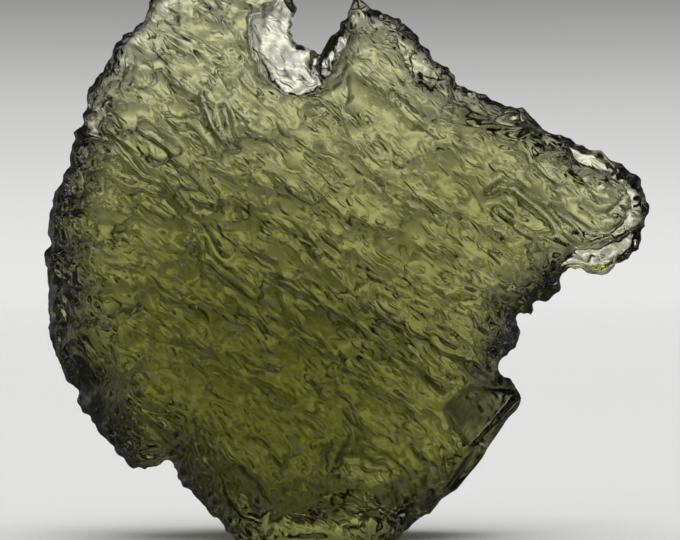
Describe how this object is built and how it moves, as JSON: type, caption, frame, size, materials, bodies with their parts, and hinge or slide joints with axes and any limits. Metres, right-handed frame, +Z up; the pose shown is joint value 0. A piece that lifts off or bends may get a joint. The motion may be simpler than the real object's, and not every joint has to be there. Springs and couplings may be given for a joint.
{
  "type": "moldavite",
  "caption": "Flattened, deeply etched piece of clear olive-green natural glass with a jagged edge, standing upright on a small flat spot.",
  "frame": {"origin": "middle of the bounding box in X and Y, at the level of the flat spot that the stone stands on", "axes": "-Y out of the broad front face, +X to the right seen from the front, towards the narrow lobe, +Z up"},
  "size_m": [0.0382, 0.0126, 0.0357],
  "materials": {
    "moldavite_glass": "clear olive-green glass with a glossy, finely etched surface"
  },
  "bodies": {
    "root": {"moldavite": "moldavite_glass"}
  },
  "joints": []
}
